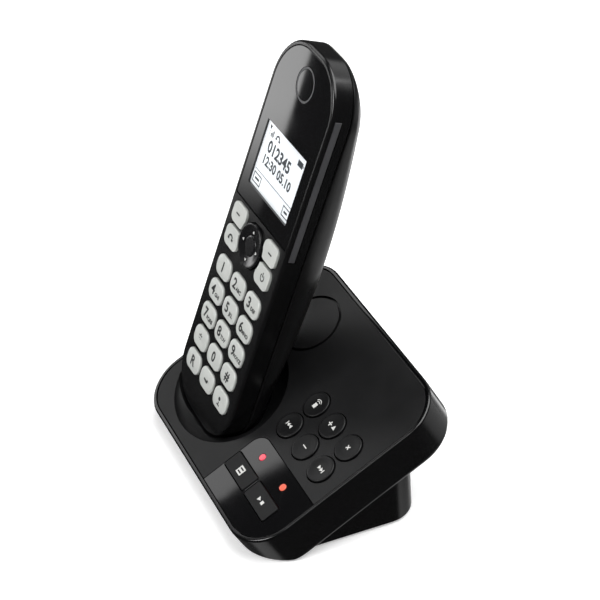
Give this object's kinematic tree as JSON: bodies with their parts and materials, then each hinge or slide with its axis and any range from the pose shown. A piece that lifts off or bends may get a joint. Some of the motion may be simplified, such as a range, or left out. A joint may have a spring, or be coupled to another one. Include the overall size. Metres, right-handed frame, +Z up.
{
  "type": "cordless phone with base",
  "caption": "Cordless handset with keypad and display leaning in a sloping answering-machine base with a round charging pocket, message buttons and a wedge stand.",
  "frame": {"origin": "under the middle of the whole object, on the surface that it stands on", "axes": "+X to the user's right, +Y away from the user, +Z up"},
  "size_m": [0.1054, 0.0834, 0.1534],
  "materials": {
    "housing_gloss_abs": "high gloss",
    "deck_matte_abs": "fine matte texture",
    "tub_satin_abs": "satin",
    "panel_gloss_abs": "high gloss",
    "base_key_black": "satin",
    "touch_key_black": "fine matte texture",
    "lamp_red": "clear red tinted",
    "handset_gloss_abs": "gloss",
    "handset_satin_abs": "satin gloss",
    "window_gloss_acrylic": "polished",
    "keypad_silver": "painted satin",
    "navigator_gloss_black": "gloss",
    "display_panel": "backlit white",
    "circuit_board_green": "solder mask",
    "nickel_contact": "plated",
    "speaker_steel": "plated",
    "jack_black_nylon": "moulded",
    "rubber_dark": "moulded",
    "battery_sleeve": "shrink film"
  },
  "bodies": {
    "base": {"base_housing": "housing_gloss_abs", "base_tub": "tub_satin_abs", "base_cover": "deck_matte_abs", "control_panel": "panel_gloss_abs", "lamp_guide": "lamp_red", "base_circuit_board": "circuit_board_green", "base_speaker": "speaker_steel", "base_charge_contact_left": "nickel_contact", "base_charge_contact_right": "nickel_contact", "phone_line_jack": "jack_black_nylon", "power_jack": "jack_black_nylon", "base_screw_left": "nickel_contact", "base_screw_right": "nickel_contact", "foot_front_left": "rubber_dark", "foot_front_right": "rubber_dark", "foot_rear_left": "rubber_dark", "foot_rear_right": "rubber_dark"},
    "handset": {"handset_front_case": "handset_gloss_abs", "handset_back_case": "handset_satin_abs", "display_window": "window_gloss_acrylic", "lcd_module": "display_panel", "key_mat": "rubber_dark", "handset_circuit_board": "circuit_board_green", "earpiece_speaker": "speaker_steel", "handset_charge_contact_left": "nickel_contact", "handset_charge_contact_right": "nickel_contact", "battery_left": "battery_sleeve", "battery_right": "battery_sleeve", "battery_spring_plate": "nickel_contact"},
    "battery_cover": {"battery_cover": "handset_satin_abs"},
    "navigator_pivot": {"navigator_pivot": "rubber_dark"},
    "navigator_key": {"navigator_key": "navigator_gloss_black"},
    "button_skip_back": {"button_skip_back": "base_key_black"},
    "button_volume_down": {"button_volume_down": "base_key_black"},
    "button_skip_forward": {"button_skip_forward": "base_key_black"},
    "button_locator": {"button_locator": "base_key_black"},
    "button_volume_up": {"button_volume_up": "base_key_black"},
    "button_erase": {"button_erase": "base_key_black"},
    "key_answer_on": {"key_answer_on": "touch_key_black"},
    "key_play_stop": {"key_play_stop": "touch_key_black"},
    "key_1": {"key_1": "keypad_silver"},
    "key_2": {"key_2": "keypad_silver"},
    "key_3": {"key_3": "keypad_silver"},
    "key_4": {"key_4": "keypad_silver"},
    "key_5": {"key_5": "keypad_silver"},
    "key_6": {"key_6": "keypad_silver"},
    "key_7": {"key_7": "keypad_silver"},
    "key_8": {"key_8": "keypad_silver"},
    "key_9": {"key_9": "keypad_silver"},
    "key_star": {"key_star": "keypad_silver"},
    "key_0": {"key_0": "keypad_silver"},
    "key_hash": {"key_hash": "keypad_silver"},
    "key_recall": {"key_recall": "keypad_silver"},
    "key_redial": {"key_redial": "keypad_silver"},
    "key_mute": {"key_mute": "keypad_silver"},
    "key_soft_left": {"key_soft_left": "keypad_silver"},
    "key_soft_right": {"key_soft_right": "keypad_silver"},
    "key_talk": {"key_talk": "keypad_silver"},
    "key_off": {"key_off": "keypad_silver"}
  },
  "joints": [
    {"name": "handset_lift", "type": "slide", "parent": "base", "child": "handset", "axis": [0, 0.3272, 0.9449], "range_m": [0, 0.08]},
    {"name": "battery_cover_slide", "type": "slide", "parent": "handset", "child": "battery_cover", "axis": [0, 0.274, -0.9617], "range_m": [0, 0.013]},
    {"name": "navigator_tilt_sideways", "type": "hinge", "parent": "handset", "child": "navigator_pivot", "pos_m": [-0.0245, -0.00587, 0.08067], "axis": [0, 0.3272, 0.9449], "range_deg": [-2.5, 2.5], "stiffness_Nm_per_rad": 0.02},
    {"name": "navigator_tilt_up_down", "type": "hinge", "parent": "navigator_pivot", "child": "navigator_key", "pos_m": [-0.0245, -0.00587, 0.08067], "axis": [1, 0, 0], "range_deg": [-2.5, 2.5], "stiffness_Nm_per_rad": 0.02},
    {"name": "button_skip_back_press", "type": "slide", "parent": "base", "child": "button_skip_back", "axis": [0, 0.4924, -0.8704], "range_m": [0, 0.0006], "stiffness_N_per_m": 600, "springref_m": -0.0004},
    {"name": "button_volume_down_press", "type": "slide", "parent": "base", "child": "button_volume_down", "axis": [0, 0.4924, -0.8704], "range_m": [0, 0.0006], "stiffness_N_per_m": 600, "springref_m": -0.0004},
    {"name": "button_skip_forward_press", "type": "slide", "parent": "base", "child": "button_skip_forward", "axis": [0, 0.4924, -0.8704], "range_m": [0, 0.0006], "stiffness_N_per_m": 600, "springref_m": -0.0004},
    {"name": "button_locator_press", "type": "slide", "parent": "base", "child": "button_locator", "axis": [0, 0.4924, -0.8704], "range_m": [0, 0.0006], "stiffness_N_per_m": 600, "springref_m": -0.0004},
    {"name": "button_volume_up_press", "type": "slide", "parent": "base", "child": "button_volume_up", "axis": [0, 0.4924, -0.8704], "range_m": [0, 0.0006], "stiffness_N_per_m": 600, "springref_m": -0.0004},
    {"name": "button_erase_press", "type": "slide", "parent": "base", "child": "button_erase", "axis": [0, 0.4924, -0.8704], "range_m": [0, 0.0006], "stiffness_N_per_m": 600, "springref_m": -0.0004},
    {"name": "key_answer_on_press", "type": "slide", "parent": "base", "child": "key_answer_on", "axis": [0, 0.4924, -0.8704], "range_m": [0, 0.0006], "stiffness_N_per_m": 600, "springref_m": -0.0004},
    {"name": "key_play_stop_press", "type": "slide", "parent": "base", "child": "key_play_stop", "axis": [0, 0.4924, -0.8704], "range_m": [0, 0.0006], "stiffness_N_per_m": 600, "springref_m": -0.0004},
    {"name": "key_1_press", "type": "slide", "parent": "handset", "child": "key_1", "axis": [0, 0.9449, -0.3272], "range_m": [0, 0.0006], "stiffness_N_per_m": 600, "springref_m": -0.0004},
    {"name": "key_2_press", "type": "slide", "parent": "handset", "child": "key_2", "axis": [0, 0.9449, -0.3272], "range_m": [0, 0.0006], "stiffness_N_per_m": 600, "springref_m": -0.0004},
    {"name": "key_3_press", "type": "slide", "parent": "handset", "child": "key_3", "axis": [0, 0.9449, -0.3272], "range_m": [0, 0.0006], "stiffness_N_per_m": 600, "springref_m": -0.0004},
    {"name": "key_4_press", "type": "slide", "parent": "handset", "child": "key_4", "axis": [0, 0.9449, -0.3272], "range_m": [0, 0.0006], "stiffness_N_per_m": 600, "springref_m": -0.0004},
    {"name": "key_5_press", "type": "slide", "parent": "handset", "child": "key_5", "axis": [0, 0.9449, -0.3272], "range_m": [0, 0.0006], "stiffness_N_per_m": 600, "springref_m": -0.0004},
    {"name": "key_6_press", "type": "slide", "parent": "handset", "child": "key_6", "axis": [0, 0.9449, -0.3272], "range_m": [0, 0.0006], "stiffness_N_per_m": 600, "springref_m": -0.0004},
    {"name": "key_7_press", "type": "slide", "parent": "handset", "child": "key_7", "axis": [0, 0.9449, -0.3272], "range_m": [0, 0.0006], "stiffness_N_per_m": 600, "springref_m": -0.0004},
    {"name": "key_8_press", "type": "slide", "parent": "handset", "child": "key_8", "axis": [0, 0.9449, -0.3272], "range_m": [0, 0.0006], "stiffness_N_per_m": 600, "springref_m": -0.0004},
    {"name": "key_9_press", "type": "slide", "parent": "handset", "child": "key_9", "axis": [0, 0.9449, -0.3272], "range_m": [0, 0.0006], "stiffness_N_per_m": 600, "springref_m": -0.0004},
    {"name": "key_star_press", "type": "slide", "parent": "handset", "child": "key_star", "axis": [0, 0.9449, -0.3272], "range_m": [0, 0.0006], "stiffness_N_per_m": 600, "springref_m": -0.0004},
    {"name": "key_0_press", "type": "slide", "parent": "handset", "child": "key_0", "axis": [0, 0.9449, -0.3272], "range_m": [0, 0.0006], "stiffness_N_per_m": 600, "springref_m": -0.0004},
    {"name": "key_hash_press", "type": "slide", "parent": "handset", "child": "key_hash", "axis": [0, 0.9449, -0.3272], "range_m": [0, 0.0006], "stiffness_N_per_m": 600, "springref_m": -0.0004},
    {"name": "key_recall_press", "type": "slide", "parent": "handset", "child": "key_recall", "axis": [0, 0.9449, -0.3272], "range_m": [0, 0.0006], "stiffness_N_per_m": 600, "springref_m": -0.0004},
    {"name": "key_redial_press", "type": "slide", "parent": "handset", "child": "key_redial", "axis": [0, 0.9449, -0.3272], "range_m": [0, 0.0006], "stiffness_N_per_m": 600, "springref_m": -0.0004},
    {"name": "key_mute_press", "type": "slide", "parent": "handset", "child": "key_mute", "axis": [0, 0.9449, -0.3272], "range_m": [0, 0.0006], "stiffness_N_per_m": 600, "springref_m": -0.0004},
    {"name": "key_soft_left_press", "type": "slide", "parent": "handset", "child": "key_soft_left", "axis": [0, 0.9449, -0.3272], "range_m": [0, 0.0006], "stiffness_N_per_m": 600, "springref_m": -0.0004},
    {"name": "key_soft_right_press", "type": "slide", "parent": "handset", "child": "key_soft_right", "axis": [0, 0.9449, -0.3272], "range_m": [0, 0.0006], "stiffness_N_per_m": 600, "springref_m": -0.0004},
    {"name": "key_talk_press", "type": "slide", "parent": "handset", "child": "key_talk", "axis": [0, 0.9449, -0.3272], "range_m": [0, 0.0006], "stiffness_N_per_m": 600, "springref_m": -0.0004},
    {"name": "key_off_press", "type": "slide", "parent": "handset", "child": "key_off", "axis": [0, 0.9449, -0.3272], "range_m": [0, 0.0006], "stiffness_N_per_m": 600, "springref_m": -0.0004}
  ]
}
